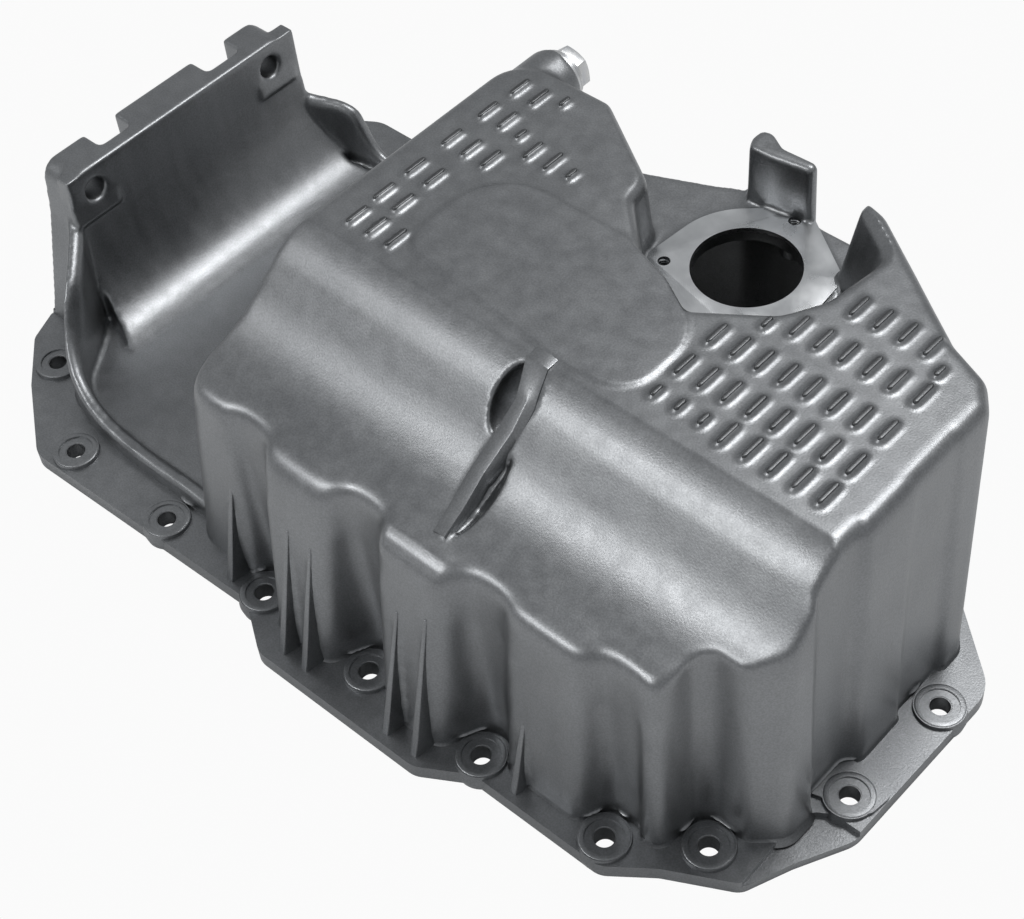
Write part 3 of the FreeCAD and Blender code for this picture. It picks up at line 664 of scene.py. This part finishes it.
def bolt_seats():
    """Raised bolt seats with a milled spot face and a clean hole."""
    spot = BOSS_TOP - SPOT_DEPTH
    profile = [(BOLT_RADIUS, SEAT_BASE), (BOLT_RADIUS, spot - HOLE_CHAMFER),
               (BOLT_RADIUS + HOLE_CHAMFER, spot + SEAT_LIFT),
               (SPOT_RADIUS, spot + SEAT_LIFT),
               (SPOT_RADIUS + SPOT_DRAFT, BOSS_TOP + SEAT_LIFT)]
    for k in range(4):
        a = math.radians(30 * k)
        profile.append((BOSS_RADIUS - BOSS_ROUND * (1 - math.sin(a)),
                        BOSS_TOP + SEAT_LIFT - BOSS_ROUND * (1 - math.cos(a))))
    profile += [(BOSS_RADIUS + BOSS_DRAFT, BOSS_WIDEST), (BOSS_RADIUS, SEAT_BASE)]
    piece = copied(turned("bolt_seats", profile), bolt_places())
    shade(piece)
    return piece


def hole_edges():
    """Bright chamfers round the bolt holes."""
    top = BOSS_TOP - SPOT_DEPTH + EDGE_LIFT
    profile = [(BOLT_RADIUS, top - EDGE_WIDTH), (BOLT_RADIUS + EDGE_WIDTH, top),
               (BOLT_RADIUS + EDGE_SKIRT, top - EDGE_WIDTH)]
    piece = copied(turned("hole_edges", profile, 40), bolt_places())
    shade(piece, 20.0)
    return piece


def fin(x, wall_y, out_y, top_z, lean):
    """Tall wedge against the front wall: narrow outer face, pointed top."""
    root_y = wall_y + FIN_BURIED
    depth = root_y - out_y
    middle = at(x, root_y - depth / 2, (FIN_FOOT + top_z) / 2)
    size = Vector((FIN_WIDTH, depth, top_z - FIN_FOOT)) * MM
    deselect()
    bpy.ops.mesh.primitive_cube_add(size=1.0, location=middle, scale=size)
    piece = settle(named("fin"))
    wall_top = wall_y + top_z / FRONT_HEIGHT * FRONT_LEAN
    shift = Vector((0, wall_top + FIN_BURIED - root_y, 0)) * MM
    reshape(piece, lambda co: co.z > middle.z, (FIN_TOP_SHARE, FIN_TOP_DEPTH / depth, 1),
            shift, at(x, root_y, top_z))
    reshape(piece, lambda co: co.y < middle.y and co.z < middle.z, (FIN_OUTER_SHARE, 1, 1),
            Vector((lean, 0, 0)) * MM, at(x, out_y, FIN_FOOT))
    softened(piece, FIN_ROUND, 3, 20.0)
    return piece


def fins():
    piece = joined("fins", [fin(*row) for row in FINS])
    shade(piece, 40.0)
    return piece


def rib():
    """Bar down the slope: a flat plate at its top that narrows into a ridge."""
    deselect()
    bpy.ops.mesh.primitive_grid_add(x_subdivisions=4, y_subdivisions=len(RIB_ROWS) - 1, size=0.1)
    piece = settle(named("slope_rib"))
    corners = sorted((round(v.co.y, 5), round(v.co.x, 5), v.index) for v in piece.data.vertices)
    for k, (y, z, left, left_over, ridge, ridge_over, right, right_over) in enumerate(RIB_ROWS):
        goals = [(left - RIB_SKIRT, z - RIB_BURIED), (left - RIB_SIDE, z + left_over),
                 (ridge, z + ridge_over), (right + RIB_SIDE, z + right_over),
                 (right + RIB_SKIRT, z - RIB_BURIED)]
        for n, (x, height) in enumerate(goals):
            index = corners[len(goals) * k + n][2]
            pull(piece, index, at(x, y, height + RIB_LIFT))
    softened(piece, RIB_ROUND * MM, 2, 25.0)
    shade(piece, 30.0)
    return piece


# Sensor seat

def screw_places():
    places = []
    for angle in SCREW_ANGLES:
        a = math.radians(angle)
        places.append(Vector((SENSOR.x + SCREW_CIRCLE * math.cos(a),
                              SENSOR.y + SCREW_CIRCLE * math.sin(a), 0)))
    return places


def sensor_seat():
    """Milled seat of the level sensor: a disc drawn out to three lobes and a straight side."""
    parts = [pin(SEAT_RADIUS, SEAT_FOOT, SEAT_TOP, SENSOR, 96)]
    parts += [pin(LOBE_RADIUS, SEAT_FOOT, SEAT_TOP, place, 32) for place in screw_places()]
    for x, y in SEAT_CORNERS:
        corner = SENSOR + Vector((x, y, 0)) * MM
        parts.append(pin(CORNER_RADIUS, SEAT_FOOT, SEAT_TOP, corner, 16))
    piece = joined("sensor_seat", parts)
    edit(piece)
    bpy.ops.mesh.convex_hull()
    leave()
    settle(piece)
    softened(piece, SEAT_ROUND, 2, 50.0)
    cut(piece, pin(BORE_RADIUS, SEAT_FOOT - BORE_DEPTH, SEAT_TOP + BORE_DEPTH, SENSOR, 96))
    for place in screw_places():
        cut(piece, pin(SCREW_RADIUS, SEAT_FOOT - SCREW_DEPTH, SEAT_TOP + SCREW_DEPTH, place, 32))
    shade(piece, 25.0)
    return piece


def screw_threads():
    ridge = helix("screw_threads", SCREW_RADIUS, SCREW_REACH, SCREW_PITCH,
                  SCREW_TURNS, SCREW_STEPS)
    places = [Vector((p.x, p.y, SEAT_TOP - SCREW_START)) for p in screw_places()]
    piece = copied(ridge, places)
    shade(piece, 30.0)
    return piece


# Raised marks

def mark(name, length):
    """One raised mark: a short round-ended bar drawn in towards its top."""
    bar = settle(pin(MARK_WIDTH / 2, BOTTOM - MARK_BASE, BOTTOM + MARK_HEIGHT, ORIGIN, 20))
    bar.name = name
    reach = Vector((0, (length - MARK_WIDTH) / 2, 0))
    hair = 0.01 * MM             # the corners in the middle go with one end only
    reshape(bar, lambda co: co.y > -hair, (1, 1, 1), reach, ORIGIN)
    reshape(bar, lambda co: co.y < -hair, (1, 1, 1), -reach, ORIGIN)
    narrow = 1.0 - MARK_WIDTH * (1.0 - MARK_TOP) / length
    reshape(bar, lambda co: co.z > BOTTOM, (MARK_TOP, narrow, 1), ORIGIN, ORIGIN)
    softened(bar, MARK_ROUND, 2, 40.0)
    return bar


def bottom_marks():
    long_places = []
    short_places = list(SINGLE_MARKS)
    pitch = MARK_PITCH / MM
    for x, count, y, short in MARK_ROWS:
        short_places += [(x + i * pitch, y) for i in range(short)]
        long_places += [(x + i * pitch, y) for i in range(short, count)]
    bars = []
    for name, length, places in (("long", MARK_LENGTH, long_places),
                                 ("short", MARK_SHORT, short_places)):
        bars.append(copied(mark(name, length), [at(x, y, 0) for x, y in places]))
    piece = joined("bottom_marks", bars)
    shade(piece, 40.0)
    return piece


# Drain plug

def drain_plug():
    """Hexagon-headed plug with a collar and a threaded shank, axis along Y."""
    shank = turned("shank", scaled(PLUG_PROFILE))
    ridge = helix("ridge", SHANK_RADIUS * MM, THREAD_REACH * MM, THREAD_PITCH * MM,
                  THREAD_TURNS, THREAD_STEPS)
    ridge.location = (0, 0, THREAD_START * MM)
    settle(ridge)
    head = pin(HEX_ACROSS / math.sqrt(3) * MM, HEX_LOW * MM, HEX_HIGH * MM, ORIGIN, 6)
    head.rotation_euler = (0, 0, math.radians(HEX_TURN))
    settle(head)
    cut(head, turned("dome", scaled(DOME_PROFILE)), "INTERSECT")
    softened(head, HEX_ROUND * MM, 2, 40.0)
    piece = joined("plug_body", [shank, ridge, head])
    piece.rotation_euler = (-math.pi / 2, 0, 0)
    settle(piece)
    piece.location = PLUG
    settle(piece)
    shade(piece, 30.0)
    return piece


# Studio

def lamp(name, place, target, size, power):
    light = bpy.data.lights.new(name, "AREA")
    light.shape = "RECTANGLE"
    light.size, light.size_y = size
    light.energy = power
    holder = bpy.data.objects.new(name, light)
    bpy.context.scene.collection.objects.link(holder)
    holder.location = place
    holder.rotation_mode = "QUATERNION"
    holder.rotation_quaternion = (Vector(target) - Vector(place)).to_track_quat("-Z", "Y")


def paper():
    """Pale floor: white to the camera, dim in the metal's reflections."""
    material = bpy.data.materials.new("paper")
    material.use_nodes = True
    nodes, links = material.node_tree.nodes, material.node_tree.links
    shader = nodes["Principled BSDF"]
    shader.inputs["Base Color"].default_value = PAPER_TONE
    shader.inputs["Roughness"].default_value = 0.9
    glow = nodes.new("ShaderNodeEmission")
    glow.inputs["Color"].default_value = PAPER_GLOW
    path = nodes.new("ShaderNodeLightPath")
    mix = nodes.new("ShaderNodeMixShader")
    links.new(path.outputs["Is Camera Ray"], mix.inputs["Fac"])
    links.new(shader.outputs["BSDF"], mix.inputs[1])
    links.new(glow.outputs["Emission"], mix.inputs[2])
    links.new(mix.outputs["Shader"], nodes["Material Output"].inputs["Surface"])
    return material


def stage():
    scene = bpy.context.scene
    scene.view_settings.view_transform = "Standard"
    deselect()
    bpy.ops.mesh.primitive_plane_add(size=PAPER_SIZE, location=(0, 0, PAPER_HEIGHT))
    floor = named("floor")
    dress(floor, paper())
    world = bpy.data.worlds.new("studio")
    world.use_nodes = True
    background = world.node_tree.nodes["Background"]
    background.inputs["Color"].default_value = WORLD_TONE
    background.inputs["Strength"].default_value = 1.0
    scene.world = world
    for row in LAMPS:
        lamp(*row)


def camera():
    across = math.cos(CAMERA_ELEVATION)
    back = Vector((math.sin(CAMERA_AZIMUTH) * across, -math.cos(CAMERA_AZIMUTH) * across,
                   math.sin(CAMERA_ELEVATION)))
    data = bpy.data.cameras.new("camera")
    data.lens = LENS
    data.sensor_width = SENSOR_WIDTH
    data.clip_start = 0.01
    data.clip_end = 50.0
    holder = bpy.data.objects.new("camera", data)
    bpy.context.scene.collection.objects.link(holder)
    holder.location = CAMERA_PLACE
    holder.rotation_mode = "QUATERNION"
    roll = Quaternion((0, 0, 1), CAMERA_ROLL)
    holder.rotation_quaternion = (-back).to_track_quat("-Z", "Y") @ roll
    bpy.context.scene.camera = holder


stage()
camera()
cast = cast_skin("cast_aluminium")
# The marks take the cast skin darkened: painted shade on them, though the metal is the same.
marks_painted_shade_skin = cast_skin("marks_painted_shade", MARKS_PAINTED_SHADE)
milled = machined_skin()
zinc = zinc_skin()

body = cast_body()
seat(body, "pan", cast)
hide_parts("oil_pan")
seat(flange(), "pan", cast)
seat(rib(), "pan", cast)
seat(bolt_seats(), "pan", cast)
seat(hole_edges(), "pan", milled)
seat(fins(), "pan", cast)
seat(sensor_seat(), "pan", milled)
seat(screw_threads(), "pan", milled)
seat(bottom_marks(), "pan", marks_painted_shade_skin)
plug = drain_plug()
seat(plug, "plug", zinc)
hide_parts("drain_plug")
dress(frame["nodes"]["drain_seal"], seal_skin())
